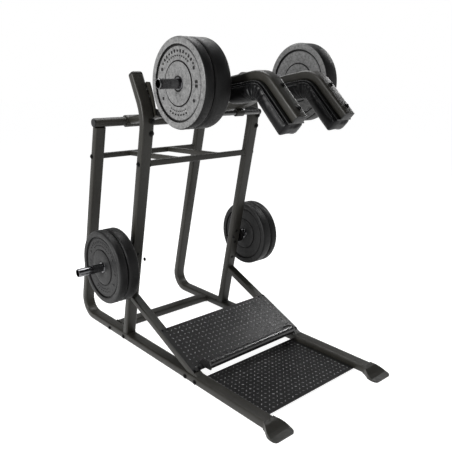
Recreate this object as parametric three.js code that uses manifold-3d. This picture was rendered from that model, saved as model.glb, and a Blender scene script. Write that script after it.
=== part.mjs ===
// Leverage squat and calf machine, plate loaded, in millimetres, +Z up.
// The user faces the frame: -Y is the open end with the two feet, +Y is the pivot end.
// The origin is on the floor, under the middle of the machine's box.
import * as THREE from "three";
import { mergeVertices } from "three/addons/utils/BufferGeometryUtils.js";
import Module from "manifold-3d";

const wasm = await Module();
wasm.setup();

// Clearance between pieces that touch.
const GAP = 0.3;

// Bent box tube of the two side frames.
const FRAME_X = 415;
const TUBE_W = 76;
const TUBE_D = 48;
const TUBE_WALL = 3;
const TUBE_R = 12;
const FLOOR_GAP = 3;
const RUNNER_Z = FLOOR_GAP + TUBE_D / 2;
const RUNNER_TOP = FLOOR_GAP + TUBE_D;
const JOINT_REAR_Y = 367;
const JOINT_FRONT_Y = -360;
const FOOT_START_Y = -885;
const FOOT_TIP_Y = -1006;

// Rear upright and the axle that it carries.
const PIVOT_Y = 658;
const PIVOT_Z = 1421;
const REAR_CORNER_Y = 1012;
const REAR_BEND_R = 105;
const BASE_TUBE_Y = 612;
const AXLE_R = 29;
const AXLE_HALF = 454;

// Front upright: leans forward, then follows the arc of the lever above its bend.
const FRONT_BASE_Y = 423;
const FRONT_BASE_Z = RUNNER_TOP;
const FRONT_BEND_Y = 102;
const FRONT_BEND_Z = 1488;
const FRONT_TOP_Y = 208;
const FRONT_TOP_Z = 1710;
const FRONT_BEND_R = 250;

// Light upper bracing.
const BAR = 34;
const FRONT_BAR_Y = 162;
const FRONT_BAR_Z = 1211;
const REAR_BAR_Y = 722;
const REAR_BAR_Z = 1200;
const LINK_X = 158;

// Footplate on its two diagonal braces.
const SLOPE = 0.44;
const BRACE_W = 58;
const BRACE_D = 40;
const PLATE_HALF_X = 440;
const PLATE_TOP_Y = 15;
const PLATE_LOW_Y = -313;
const PLATE_T = 5;
const PLATE_Z0 = 204;
const CALF_Y = -340;
const CALF_Z = 97;
const CALF_R = 26;
const CALF_HALF = 350;
const FLOOR_PLATE_FRONT = -825;
const FLOOR_PLATE_REAR = -320;

// Lever: hub on the axle, two bent side tubes, posts and pads.
const ARM_X = 182;
const HUB_R = 39;
const LEVER_POINTS = [
  [PIVOT_Y, PIVOT_Z, 0],
  [-57, 1544, 290],
  [-335, 1674, 190],
  [-611, 1717, 140],
  [-824, 1506, 0],
];
const PAD_W = 134;
const PAD_T = 86;
const PAD_BASE_W = 110;
const PAD_BASE_T = 6;
const POST_R = 24.8;
const POST_WALL = 4;
const LEVER_POST_Y = -298;
const LEVER_POST_Z = 1667;
const LEVER_POST_END = 612;
const STORE_Y = 294;
const STORE_Z = 594;
const STORE_POST_END = 813;

// Weight plates.
const PLATE_R = 225;
const BORE_R = 25.7;
const HUB_FACE_R = 104;
const RIM_IN_R = 190;

// Lock-out bar with its two pin arms, and the racks whose holes the pins enter.
const LOCK_Y = -5;
const LOCK_Z = 1488;
const LOCK_R = 15;
const COLLAR_R = 22.4;
const LOCK_HALF = 350.2;
const LATCH_IN = 350.5;
const LATCH_T = 10;
const PIN_R = 8;
const RACK_IN = 365.3;
const RACK_T = 10;
const RACK_RADIUS = 548;
const RACK_EDGE = 578;
const RACK_BACK = 526;
const RACK_FIRST = 9.5;
const RACK_STEP = 4.6;
const RACK_HOLES = 4;

const paint = (name) =>
  new THREE.MeshStandardMaterial({ name, color: 0x5e5c56, roughness: 0.42, metalness: 0.25 });
const chrome = () => new THREE.MeshStandardMaterial({ color: 0xc9ccd0, roughness: 0.16, metalness: 1 });
const rubber = () => new THREE.MeshStandardMaterial({ color: 0x17171a, roughness: 0.8, metalness: 0 });
const vinyl = () => new THREE.MeshStandardMaterial({ color: 0x121214, roughness: 0.45, metalness: 0 });
const castIron = (color) => new THREE.MeshStandardMaterial({ color, roughness: 0.5, metalness: 0.3 });
const tread = () => new THREE.MeshStandardMaterial({ color: 0x6c6a68, roughness: 0.5, metalness: 0.4 });
const blackSteel = () => new THREE.MeshStandardMaterial({ color: 0x1d1e20, roughness: 0.4, metalness: 0.5 });

const machine = new THREE.Group();
machine.name = "squat_machine";

const v2 = (y, z) => new THREE.Vector2(y, z);

function addMesh(name, geometry, material, parent = machine) {
  const mesh = new THREE.Mesh(geometry, material);
  mesh.name = name;
  parent.add(mesh);
  return mesh;
}

// A path in a plane x = constant, given as a list of stations that carry their own section plane.
class StationPath extends THREE.Curve {
  constructor(x, stations) {
    super();
    this.x = x;
    this.stations = stations;
  }
  getPointAt(u, target = new THREE.Vector3()) {
    const last = this.stations.length - 1;
    const i = Math.min(Math.round(u * last), last);
    return target.set(this.x, this.stations[i].y, this.stations[i].z);
  }
  getPoint(u, target) {
    return this.getPointAt(u, target);
  }
  computeFrenetFrames() {
    return {
      tangents: this.stations.map((s) => new THREE.Vector3(0, s.ty, s.tz)),
      normals: this.stations.map(() => new THREE.Vector3(1, 0, 0)),
      binormals: this.stations.map((s) => new THREE.Vector3(0, s.by, s.bz)),
    };
  }
}

// Replaces each inner corner [y, z, radius] by points along its arc.
function roundCorners(corners, stepDegrees = 10) {
  const out = [new THREE.Vector2(corners[0][0], corners[0][1])];
  for (let i = 1; i < corners.length - 1; i++) {
    const p = new THREE.Vector2(corners[i][0], corners[i][1]);
    const a = new THREE.Vector2(corners[i - 1][0], corners[i - 1][1]).sub(p).normalize();
    const b = new THREE.Vector2(corners[i + 1][0], corners[i + 1][1]).sub(p).normalize();
    const turn = Math.PI - a.angleTo(b);
    const tangent = corners[i][2] * Math.tan(turn / 2);
    const bisector = a.clone().add(b).normalize();
    const centre = p.clone().addScaledVector(bisector, corners[i][2] / Math.cos(turn / 2));
    const start = p.clone().addScaledVector(a, tangent).sub(centre);
    const side = Math.sign(start.cross(p.clone().addScaledVector(b, tangent).sub(centre)));
    const steps = Math.max(2, Math.ceil(THREE.MathUtils.radToDeg(turn) / stepDegrees));
    for (let k = 0; k <= steps; k++) {
      const v = start.clone().rotateAround(new THREE.Vector2(), (side * turn * k) / steps);
      out.push(v.add(centre));
    }
  }
  const end = corners[corners.length - 1];
  out.push(new THREE.Vector2(end[0], end[1]));
  return out;
}

// Section planes at every point: mitred inside, square at the ends unless a cut normal is given.
function stationsOf(points, cutStart, cutEnd) {
  const dirs = points.slice(1).map((p, i) => p.clone().sub(points[i]).normalize());
  return points.map((p, i) => {
    const before = dirs[Math.max(i - 1, 0)];
    const after = dirs[Math.min(i, dirs.length - 1)];
    const t = before.clone().add(after).normalize();
    const lead = i === 0 ? after : before;
    const cut = (i === 0 && cutStart) || (i === points.length - 1 && cutEnd) || t;
    const b = new THREE.Vector2(cut.y, -cut.x);
    const square = new THREE.Vector2(lead.y, -lead.x);
    b.divideScalar(b.dot(square));
    return { y: p.x, z: p.y, ty: t.x, tz: t.y, by: b.x, bz: b.y };
  });
}

function roundedRect(target, halfW, low, high, r, segments) {
  const corner = [
    [halfW - r, high - r, 0],
    [-halfW + r, high - r, 90],
    [-halfW + r, low + r, 180],
    [halfW - r, low + r, 270],
  ];
  const points = [];
  for (const [cx, cy, start] of corner) {
    for (let k = 0; k <= segments; k++) {
      const a = THREE.MathUtils.degToRad(start + (90 * k) / segments);
      points.push(new THREE.Vector2(cx + r * Math.cos(a), cy + r * Math.sin(a)));
    }
  }
  target.setFromPoints(points);
  return target;
}

function boxSection(w, d, wall, r, segments = 2) {
  const shape = roundedRect(new THREE.Shape(), w / 2, -d / 2, d / 2, r, segments);
  if (wall > 0) {
    const inner = Math.max(r - wall, 2);
    shape.holes.push(
      roundedRect(new THREE.Path(), w / 2 - wall, -d / 2 + wall, d / 2 - wall, inner, segments),
    );
  }
  return shape;
}

// Sweeps a section along a path in the plane x = constant; the section's x is the machine's x.
function sweep(x, points, section, cutStart, cutEnd) {
  const path = new StationPath(x, stationsOf(points, cutStart, cutEnd));
  return new THREE.ExtrudeGeometry(section, {
    steps: points.length - 1,
    extrudePath: path,
    curveSegments: 4,
  });
}

// A profile drawn in the Y-Z plane, extruded from x = low to x = high.
function acrossX(shape, low, high) {
  const g = new THREE.ExtrudeGeometry(shape, { depth: high - low, bevelEnabled: false, curveSegments: 8 });
  const basis = new THREE.Matrix4().makeBasis(
    new THREE.Vector3(0, 1, 0),
    new THREE.Vector3(0, 0, 1),
    new THREE.Vector3(1, 0, 0),
  );
  return g.applyMatrix4(basis).translate(low, 0, 0);
}

function outline(points) {
  return new THREE.Shape(points.map(([a, b]) => new THREE.Vector2(a, b)));
}

// A lathe solid about a lateral axis: profile pairs are [distance along x, radius].
// A profile that doesn't start on the axis is closed on itself.
function latheX(profile, y, z, segments) {
  const pts = profile.map(([x, r]) => new THREE.Vector2(r, x));
  if (pts[0].x > 0) pts.push(pts[0].clone());
  if (THREE.ShapeUtils.area(pts) < 0) pts.reverse();
  return new THREE.LatheGeometry(pts, segments).rotateZ(-Math.PI / 2).translate(0, y, z);
}

// Mirror a profile in x for the other side of the machine.
const sided = (side, profile) => profile.map(([x, r]) => [side * x, r]);

function solid(geometry) {
  const g = geometry.clone();
  g.deleteAttribute("normal");
  g.deleteAttribute("uv");
  const merged = mergeVertices(g, 1e-3);
  const mesh = new wasm.Mesh({
    numProp: 3,
    vertProperties: new Float32Array(merged.attributes.position.array),
    triVerts: new Uint32Array(merged.index.array),
  });
  return new wasm.Manifold(mesh);
}

function geometryOf(manifold) {
  const m = manifold.getMesh();
  const g = new THREE.BufferGeometry();
  g.setAttribute("position", new THREE.BufferAttribute(new Float32Array(m.vertProperties), 3));
  g.setIndex(new THREE.BufferAttribute(new Uint32Array(m.triVerts), 1));
  const flat = g.toNonIndexed();
  flat.computeVertexNormals();
  return flat;
}

const HORIZONTAL_CUT = v2(0, 1);
const SIDES = [
  ["left", -1],
  ["right", 1],
];

// Rear upright, floor bend and rear runner in one bent tube.
function sideFrame(label, side) {
  const top = v2(PIVOT_Y - REAR_CORNER_Y, PIVOT_Z - RUNNER_Z).normalize();
  const end = v2(PIVOT_Y, PIVOT_Z).addScaledVector(top, -(AXLE_R + 0.6));
  const corners = [
    [JOINT_REAR_Y + GAP, RUNNER_Z, 0],
    [REAR_CORNER_Y, RUNNER_Z, REAR_BEND_R],
    [end.x, end.y, 0],
  ];
  const section = boxSection(TUBE_W, TUBE_D, TUBE_WALL, TUBE_R);
  addMesh("side_frame_" + label, sweep(side * FRAME_X, roundCorners(corners, 9), section), paint("frame"));
}

function runner(name, side, rear, front) {
  const points = [v2(rear, RUNNER_Z), v2(front, RUNNER_Z)];
  const section = boxSection(TUBE_W, TUBE_D, TUBE_WALL, TUBE_R);
  addMesh(name, sweep(side * FRAME_X, points, section), paint("frame"));
}

// Flared end foot: a spatula outline under a crown that falls from the tube to a thin rounded tip.
function foot(label, side) {
  const half = TUBE_W / 2;
  const start = FOOT_START_Y - GAP;
  const tip = FOOT_TIP_Y;
  const plan = new THREE.Shape();
  plan.moveTo(half, start);
  plan.lineTo(-half, start);
  plan.bezierCurveTo(-half - 1, start - 14, -half - 10, start - 24, -half - 20, start - 40);
  plan.bezierCurveTo(-half - 36, start - 64, -half - 38, tip + 22, -half - 28, tip + 8);
  plan.quadraticCurveTo(-half - 22, tip, -half - 12, tip);
  plan.lineTo(half + 12, tip);
  plan.quadraticCurveTo(half + 22, tip, half + 28, tip + 8);
  plan.bezierCurveTo(half + 38, tip + 22, half + 36, start - 64, half + 20, start - 40);
  plan.bezierCurveTo(half + 10, start - 24, half + 1, start - 14, half, start);
  const block = new THREE.ExtrudeGeometry(plan, { depth: 80, bevelEnabled: false, curveSegments: 6 });
  const profile = outline([
    [start + 1, FLOOR_GAP],
    [start + 1, RUNNER_TOP],
    [start - 6, RUNNER_TOP],
    [start - 28, RUNNER_TOP - 7],
    [start - 64, 24],
    [tip + 34, 14],
    [tip - 1, 8],
    [tip - 1, 0],
    [start - 52, 0],
    [start - 44, FLOOR_GAP],
  ]);
  const keep = acrossX(profile, -120, 120);
  const cut = geometryOf(solid(block).intersect(solid(keep)));
  addMesh("foot_" + label, cut, paint("frame")).position.x = side * FRAME_X;
}

function frontUpright(label, side) {
  const lean = v2(FRONT_BEND_Y - FRONT_BASE_Y, FRONT_BEND_Z - FRONT_BASE_Z).normalize();
  const foot = v2(FRONT_BASE_Y, FRONT_BASE_Z).addScaledVector(lean, GAP / lean.y);
  const corners = [
    [foot.x, foot.y, 0],
    [FRONT_BEND_Y, FRONT_BEND_Z, FRONT_BEND_R],
    [FRONT_TOP_Y, FRONT_TOP_Z, 0],
  ];
  const section = boxSection(TUBE_W, TUBE_D, TUBE_WALL, TUBE_R);
  const tube = sweep(side * FRAME_X, roundCorners(corners, 10), section, HORIZONTAL_CUT);
  addMesh("front_upright_" + label, tube, paint("frame"));
}

// Rounded plug that closes the top of a front upright.
function uprightCap(label, side) {
  const up = v2(FRONT_TOP_Y - FRONT_BEND_Y, FRONT_TOP_Z - FRONT_BEND_Z).normalize();
  const section = roundedRect(new THREE.Shape(), TUBE_W / 2 - 6, -TUBE_D / 2 + 6, TUBE_D / 2 - 6, 8, 3);
  const cap = new THREE.ExtrudeGeometry(section, {
    depth: 1,
    bevelEnabled: true,
    bevelThickness: 5,
    bevelSize: 5.5,
    bevelSegments: 3,
    curveSegments: 4,
  });
  const basis = new THREE.Matrix4().makeBasis(
    new THREE.Vector3(1, 0, 0),
    new THREE.Vector3(0, up.y, -up.x),
    new THREE.Vector3(0, up.x, up.y),
  );
  cap.applyMatrix4(basis);
  const lift = 5 + GAP;
  cap.translate(side * FRAME_X, FRONT_TOP_Y + up.x * lift, FRONT_TOP_Z + up.y * lift);
  addMesh("upright_cap_" + label, cap, paint("cap"));
}

const braceTop = (y) => PLATE_Z0 + SLOPE * y - GAP * 2;

function brace(label, side) {
  const slant = Math.hypot(1, SLOPE);
  const drop = (BRACE_D / 2) * slant;
  const centre = (y) => braceTop(y) - drop;
  const lowY = (RUNNER_TOP + GAP - PLATE_Z0 + GAP * 2 + drop) / SLOPE;
  const lean = v2(FRONT_BEND_Y - FRONT_BASE_Y, FRONT_BEND_Z - FRONT_BASE_Z).normalize();
  const face = (z) => FRONT_BASE_Y + (lean.x / lean.y) * (z - FRONT_BASE_Z) - (TUBE_D / 2 + GAP) / lean.y;
  let highY = 350;
  for (let i = 0; i < 8; i++) highY = face(centre(highY));
  const points = [v2(lowY, RUNNER_TOP + GAP), v2(highY, centre(highY))];
  const section = boxSection(BRACE_W, BRACE_D, TUBE_WALL, 8, 2);
  const cutEnd = v2(lean.y, -lean.x);
  const tube = sweep(side * FRAME_X, points, section, HORIZONTAL_CUT, cutEnd);
  addMesh("diagonal_brace_" + label, tube, paint("frame"));
}

// A hollow bar between x = -half and x = half.
function crossTube(name, half, y, z, d, h, r, material = paint("frame")) {
  const section = boxSection(d, h, TUBE_WALL, r, 2);
  const g = new THREE.ExtrudeGeometry(section, { depth: 2 * half, bevelEnabled: false, curveSegments: 4 });
  const basis = new THREE.Matrix4().makeBasis(
    new THREE.Vector3(0, 1, 0),
    new THREE.Vector3(0, 0, 1),
    new THREE.Vector3(1, 0, 0),
  );
  addMesh(name, g.applyMatrix4(basis).translate(-half, y, z), material);
}

function upperBracing() {
  const half = FRAME_X - TUBE_W / 2 - GAP;
  crossTube("upper_crossbar_front", half, FRONT_BAR_Y, FRONT_BAR_Z, BAR, BAR, 5);
  crossTube("upper_crossbar_rear", half, REAR_BAR_Y, REAR_BAR_Z, BAR, BAR, 5);
  for (const [label, side] of SIDES) {
    const a = v2(FRONT_BAR_Y + BAR / 2 + GAP, FRONT_BAR_Z);
    const b = v2(REAR_BAR_Y - BAR / 2 - GAP, REAR_BAR_Z);
    const section = boxSection(BAR, BAR - 2, 2.5, 5, 2);
    const bar = sweep(side * LINK_X, [a, b], section, v2(1, 0), v2(1, 0));
    addMesh("link_bar_" + label, bar, paint("frame"));
  }
}

// Flat tread sheet that lies on the two braces.
function footplate() {
  const centre = (y) => PLATE_Z0 + (PLATE_T / 2) * Math.hypot(1, SLOPE) + SLOPE * y;
  const face = PLATE_T / 2;
  const section = outline([
    [-PLATE_HALF_X, -face],
    [PLATE_HALF_X, -face],
    [PLATE_HALF_X, face],
    [-PLATE_HALF_X, face],
  ]);
  const ends = [PLATE_TOP_Y, PLATE_LOW_Y].map((y) => v2(y, centre(y)));
  addMesh("footplate", sweep(0, ends, section), tread());
}

function calfBar() {
  const bar = latheX(
    [
      [-CALF_HALF, CALF_R - 3],
      [-CALF_HALF, CALF_R - 1],
      [-CALF_HALF + 1, CALF_R],
      [CALF_HALF - 1, CALF_R],
      [CALF_HALF, CALF_R - 1],
      [CALF_HALF, CALF_R - 3],
    ],
    CALF_Y,
    CALF_Z,
    20,
  );
  addMesh("calf_bar", bar, paint("bar"));
  for (const [label, side] of SIDES) {
    const base = PLATE_Z0 + PLATE_T * Math.hypot(1, SLOPE) + GAP;
    const shape = outline([
      [PLATE_LOW_Y, base + SLOPE * PLATE_LOW_Y],
      [PLATE_LOW_Y + 48, base + SLOPE * (PLATE_LOW_Y + 48)],
      [CALF_Y + 0.6 * CALF_R, CALF_Z + 1.15 * CALF_R],
      [CALF_Y - 0.5 * CALF_R, CALF_Z + 1.25 * CALF_R],
      [CALF_Y - 1.1 * CALF_R, CALF_Z],
      [CALF_Y - 0.9 * CALF_R, CALF_Z - 0.9 * CALF_R],
    ]);
    const low = side < 0 ? -CALF_HALF - GAP - 8 : CALF_HALF + GAP;
    addMesh("calf_bar_bracket_" + label, acrossX(shape, low, low + 8), paint("bracket"));
  }
}

function floorPlate() {
  const half = FRAME_X - TUBE_W / 2 - GAP;
  const sheet = new THREE.BoxGeometry(2 * half, FLOOR_PLATE_REAR - FLOOR_PLATE_FRONT, 5);
  sheet.translate(0, (FLOOR_PLATE_REAR + FLOOR_PLATE_FRONT) / 2, 14);
  addMesh("floor_plate", sheet, tread());
}

function pivotAxle() {
  const tube = [
    [-AXLE_HALF, AXLE_R],
    [AXLE_HALF, AXLE_R],
    [AXLE_HALF, AXLE_R - 4],
    [-AXLE_HALF, AXLE_R - 4],
  ];
  addMesh("pivot_axle", latheX(tube, PIVOT_Y, PIVOT_Z, 32), paint("axle"));
  for (const [label, side] of SIDES) {
    const x = AXLE_HALF + GAP;
    const cap = new THREE.CylinderGeometry(AXLE_R - 3, AXLE_R, 8, 32);
    cap.rotateZ((-side * Math.PI) / 2).translate(side * (x + 4), PIVOT_Y, PIVOT_Z);
    addMesh("axle_cap_" + label, cap, blackSteel());
  }
}

function polar(radius, degrees) {
  const a = THREE.MathUtils.degToRad(degrees);
  return v2(PIVOT_Y - radius * Math.cos(a), PIVOT_Z + radius * Math.sin(a));
}

// Curved strip on the inside of a front upright, with a row of round catch holes.
function catchRack(label, side) {
  const low = RACK_FIRST - 2.6;
  const high = RACK_FIRST + RACK_STEP * (RACK_HOLES - 1) + 2.6;
  const steps = 12;
  const edge = [];
  for (let k = 0; k <= steps; k++) edge.push(polar(RACK_EDGE, low + ((high - low) * k) / steps));
  edge.push(polar((RACK_EDGE + RACK_BACK) / 2, high + 1.5));
  for (let k = steps; k >= 0; k--) edge.push(polar(RACK_BACK, low + ((high - low) * k) / steps));
  edge.push(polar((RACK_EDGE + RACK_BACK) / 2, low - 1.5));
  const strip = new THREE.Shape(edge.reverse());
  for (let k = 0; k < RACK_HOLES; k++) {
    const centre = polar(RACK_RADIUS, RACK_FIRST + RACK_STEP * k);
    strip.holes.push(new THREE.Path().absarc(centre.x, centre.y, PIN_R + 1, 0, 2 * Math.PI, true));
  }
  const x = side < 0 ? -RACK_IN - RACK_T : RACK_IN;
  addMesh("catch_rack_" + label, acrossX(strip, x, x + RACK_T), paint("rack"));
}

// A capsule-shaped outline round two points.
function capsule(a, b, r) {
  const along = b.clone().sub(a).angle();
  const shape = new THREE.Shape();
  shape.absarc(a.x, a.y, r, along + Math.PI / 2, along + (3 * Math.PI) / 2, false);
  shape.absarc(b.x, b.y, r, along - Math.PI / 2, along + Math.PI / 2, false);
  shape.closePath();
  return shape;
}

// Chrome plate post with its welded flange, pointing outwards from x = from.
function post(name, side, y, z, from, to) {
  const profile = sided(side, [
    [from, POST_R - POST_WALL],
    [from, 50],
    [from + 6, 50],
    [from + 9, 47],
    [from + 9, POST_R],
    [to - 2, POST_R],
    [to, POST_R - 1.5],
    [to, POST_R - POST_WALL],
  ]);
  addMesh(name, latheX(profile, y, z, 28), chrome());
}

// Weight plate between x = near and x = far; the face with the raised rim and hub looks towards -X.
function weightPlate(name, y, z, near, far, color) {
  const profile = [
    [near + 3, BORE_R],
    [near + 3, HUB_FACE_R],
    [near + 8, HUB_FACE_R + 4],
    [near + 8, RIM_IN_R - 6],
    [near, RIM_IN_R],
    [near, PLATE_R - 6],
    [near + 6, PLATE_R],
    [far - 6, PLATE_R],
    [far, PLATE_R - 6],
    [far, BORE_R],
  ];
  addMesh(name, latheX(profile, y, z, 32), castIron(color));
}

function leverCorners() {
  return LEVER_POINTS.map((p) => [...p]);
}

function leverTube(label, side) {
  const corners = leverCorners();
  const dir = v2(corners[1][0] - corners[0][0], corners[1][1] - corners[0][1]).normalize();
  corners[0][0] += dir.x * (HUB_R + 0.6);
  corners[0][1] += dir.y * (HUB_R + 0.6);
  const section = boxSection(TUBE_W, TUBE_D, TUBE_WALL, TUBE_R);
  addMesh("lever_tube_" + label, sweep(side * ARM_X, roundCorners(corners, 9), section), paint("lever"));
}

// The arm's path from behind the weight post to its end, for what is fixed under it.
function armPath(from) {
  const points = roundCorners(leverCorners(), 9);
  const first = points.findIndex((p) => p.x < from);
  const a = points[first - 1];
  const b = points[first];
  const start = a.clone().lerp(b, (from - a.x) / (b.x - a.x));
  return [start, ...points.slice(first)];
}

// A section that hangs between two depths below the arm's centre line.
function underArm(w, near, deep, r, segments) {
  return roundedRect(new THREE.Shape(), w / 2, -deep, -near, r, segments);
}

function pads(label, side) {
  const under = TUBE_D / 2 + GAP;
  const base = underArm(PAD_BASE_W, under, under + PAD_BASE_T, 1, 1);
  const baseMesh = sweep(side * ARM_X, armPath(-376), base);
  addMesh("pad_base_" + label, baseMesh, blackSteel());
  const padLow = under + PAD_BASE_T + GAP;
  const pad = underArm(PAD_W, padLow, padLow + PAD_T, 26, 4);
  addMesh("shoulder_pad_" + label, sweep(side * ARM_X, armPath(-366), pad), vinyl());
}

function lever() {
  const hub = [
    [-ARM_X - 46, HUB_R],
    [ARM_X + 46, HUB_R],
    [ARM_X + 46, AXLE_R + 0.7],
    [-ARM_X - 46, AXLE_R + 0.7],
  ];
  addMesh("lever_hub", latheX(hub, PIVOT_Y, PIVOT_Z, 32), paint("lever"));
  const y = 316;
  const z = PIVOT_Z + ((LEVER_POINTS[1][1] - PIVOT_Z) * (PIVOT_Y - y)) / (PIVOT_Y - LEVER_POINTS[1][0]);
  crossTube("lever_cross_tube", ARM_X - TUBE_W / 2 - GAP, y, z, 50, 40, 6);
  for (const [label, side] of SIDES) {
    leverTube(label, side);
    pads(label, side);
    const x = ARM_X + TUBE_W / 2 + GAP;
    post("lever_post_" + label, side, LEVER_POST_Y, LEVER_POST_Z, x, LEVER_POST_END);
    const collar = sided(side, [
      [ARM_X - 30, LOCK_R + 0.6],
      [ARM_X - 30, COLLAR_R],
      [ARM_X + 30, COLLAR_R],
      [ARM_X + 30, LOCK_R + 0.6],
    ]);
    addMesh("lockout_collar_" + label, latheX(collar, LOCK_Y, LOCK_Z, 24), paint("lever"));
  }
}

// Lock-out bar across the lever, an arm plate at each end, and a pull pin that slides in each arm.
function lockout() {
  const bar = latheX(
    [
      [-LOCK_HALF, LOCK_R - 4],
      [-LOCK_HALF, LOCK_R],
      [LOCK_HALF, LOCK_R],
      [LOCK_HALF, LOCK_R - 4],
    ],
    LOCK_Y,
    LOCK_Z,
    24,
  );
  addMesh("lockout_bar", bar, paint("bar"));
  const home = v2(LOCK_Y, LOCK_Z);
  const tip = polar(RACK_RADIUS, RACK_FIRST);
  for (const [label, side] of SIDES) {
    const arm = capsule(home, tip, 17);
    arm.holes.push(new THREE.Path().absarc(tip.x, tip.y, PIN_R + 0.6, 0, 2 * Math.PI, true));
    const low = side < 0 ? -LATCH_IN - LATCH_T : LATCH_IN;
    addMesh("latch_arm_" + label, acrossX(arm, low, low + LATCH_T), blackSteel());
    const pin = sided(side, [
      [LATCH_IN - 34, 0],
      [LATCH_IN - 34, 9],
      [LATCH_IN - 30, 13],
      [LATCH_IN - 18, 13],
      [LATCH_IN - 14, PIN_R],
      [LATCH_IN + LATCH_T + 1, PIN_R],
      [LATCH_IN + LATCH_T + 3, PIN_R - 2],
      [LATCH_IN + LATCH_T + 3, 0],
    ]);
    addMesh("lock_pin_" + label, latheX(pin, tip.x, tip.y, 20), chrome());
  }
}

function rubberParts() {
  const feet = [
    ["rear", 866],
    ["front", -536],
  ];
  for (const [label, side] of SIDES) {
    for (const [place, y] of feet) {
      const pad = new THREE.CylinderGeometry(24, 26, FLOOR_GAP - GAP, 20).rotateX(Math.PI / 2);
      pad.translate(side * FRAME_X, y, (FLOOR_GAP - GAP) / 2);
      addMesh("rubber_foot_" + place + "_" + label, pad, rubber());
    }
  }
}

for (const [label, side] of SIDES) {
  sideFrame(label, side);
  runner("mid_runner_" + label, side, JOINT_REAR_Y - GAP, JOINT_FRONT_Y + GAP);
  runner("front_runner_" + label, side, JOINT_FRONT_Y - GAP, FOOT_START_Y);
  foot(label, side);
  frontUpright(label, side);
  uprightCap(label, side);
  brace(label, side);
  catchRack(label, side);
  post("storage_post_" + label, side, STORE_Y, STORE_Z, FRAME_X + TUBE_W / 2 + GAP, STORE_POST_END);
}
crossTube("base_cross_tube", FRAME_X - TUBE_W / 2 - GAP, BASE_TUBE_Y, RUNNER_Z, TUBE_W, TUBE_D, TUBE_R);
upperBracing();
footplate();
calfBar();
floorPlate();
pivotAxle();
lever();
lockout();
rubberParts();

const GREY_FACE = 0x9a9a98;
const DARK = 0x2c2b2c;
weightPlate("lever_plate_left_inner", LEVER_POST_Y, LEVER_POST_Z, -434, -334, DARK);
weightPlate("lever_plate_left_outer", LEVER_POST_Y, LEVER_POST_Z, -498, -438, GREY_FACE);
weightPlate("lever_plate_right", LEVER_POST_Y, LEVER_POST_Z, 380, 478, GREY_FACE);
weightPlate("storage_plate_left_inner", STORE_Y, STORE_Z, -601, -528, DARK);
weightPlate("storage_plate_left_outer", STORE_Y, STORE_Z, -660, -605, DARK);
weightPlate("storage_plate_right_inner", STORE_Y, STORE_Z, 498, 570, DARK);
weightPlate("storage_plate_right_outer", STORE_Y, STORE_Z, 574, 628, DARK);

export default machine;
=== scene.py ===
"""Looks for the leverage squat machine: materials, plate relief, stuffed pads, fixings and light."""
import math

import bmesh
import bpy
from mathutils import Matrix, Vector


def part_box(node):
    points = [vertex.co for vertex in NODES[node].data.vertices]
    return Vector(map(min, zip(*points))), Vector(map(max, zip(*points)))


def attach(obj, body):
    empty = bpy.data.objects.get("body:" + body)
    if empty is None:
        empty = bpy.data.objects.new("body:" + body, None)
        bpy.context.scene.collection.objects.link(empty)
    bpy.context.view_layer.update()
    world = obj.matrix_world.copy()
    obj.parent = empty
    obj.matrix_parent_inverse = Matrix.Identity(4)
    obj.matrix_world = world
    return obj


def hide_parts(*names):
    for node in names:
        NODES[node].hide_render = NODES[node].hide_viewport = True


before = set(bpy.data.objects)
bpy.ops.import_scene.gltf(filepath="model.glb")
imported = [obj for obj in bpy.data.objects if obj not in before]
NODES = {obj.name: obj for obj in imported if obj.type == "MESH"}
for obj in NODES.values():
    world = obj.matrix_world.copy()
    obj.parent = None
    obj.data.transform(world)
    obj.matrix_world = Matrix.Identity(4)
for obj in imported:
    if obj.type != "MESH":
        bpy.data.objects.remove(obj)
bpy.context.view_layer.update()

SIDES = (("left", -1), ("right", 1))

# Machine dimensions that the trim needs, in metres. Pairs are (y, z).
# Frame tubes: the uprights' plane, their section, and the front one's path.
FRAME_X = 0.415
TUBE_W = 0.076
TUBE_D = 0.048
TUBE_CORNER = 0.012
RUNNER_TOP = 0.051
FRONT_FOOT = (0.423, 0.051)
FRONT_BEND = (0.102, 1.488)
UPRIGHT_TOP = (0.208, 1.710)
FRONT_BAR = (0.162, 1.211)
REAR_BAR = (0.722, 1.200)
# Storage posts: axis, radius and the thickness of the flange with 0.2 mm to spare.
STORE = (0.294, 0.594)
POST_R = 0.0250
FLANGE_T = 0.0092
# Lever: pivot, path of its tubes and the bend under the shoulder pads.
PIVOT = (0.658, 1.421)
ARM_X = 0.182
LEVER_POINTS = ((-0.057, 1.544), (-0.335, 1.674), (-0.611, 1.717), (-0.824, 1.506))
PAD_BEND_RADIUS = 0.14
# Plates.
PLATE_BORE = 0.0257
PLATE_R = 0.225
# Footplate: height of its underside at y = 0, rise per metre of y, thickness measured upright,
# and the direction off its face.
FOOTPLATE_LEVEL = 0.204
FOOTPLATE_SLOPE = 0.44
FOOTPLATE_T = 0.0055
FOOTPLATE_UP = (0, -0.403, 0.915)
# Catch racks: inner face, radius about the pivot, and the holes' angles in degrees.
RACK_IN = 0.3653
RACK_RADIUS = 0.548
RACK_FIRST = 9.5
RACK_STEP = 4.6
RACK_HOLES = 4


# ---------------------------------------------------------------- camera
CAMERA_AT = (-2.1705, -2.5790, 1.6922)
YAW_PITCH_ROLL = (41.101, -14.904, 0.105)
LENS = 44.18
SENSOR = 36.0


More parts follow.
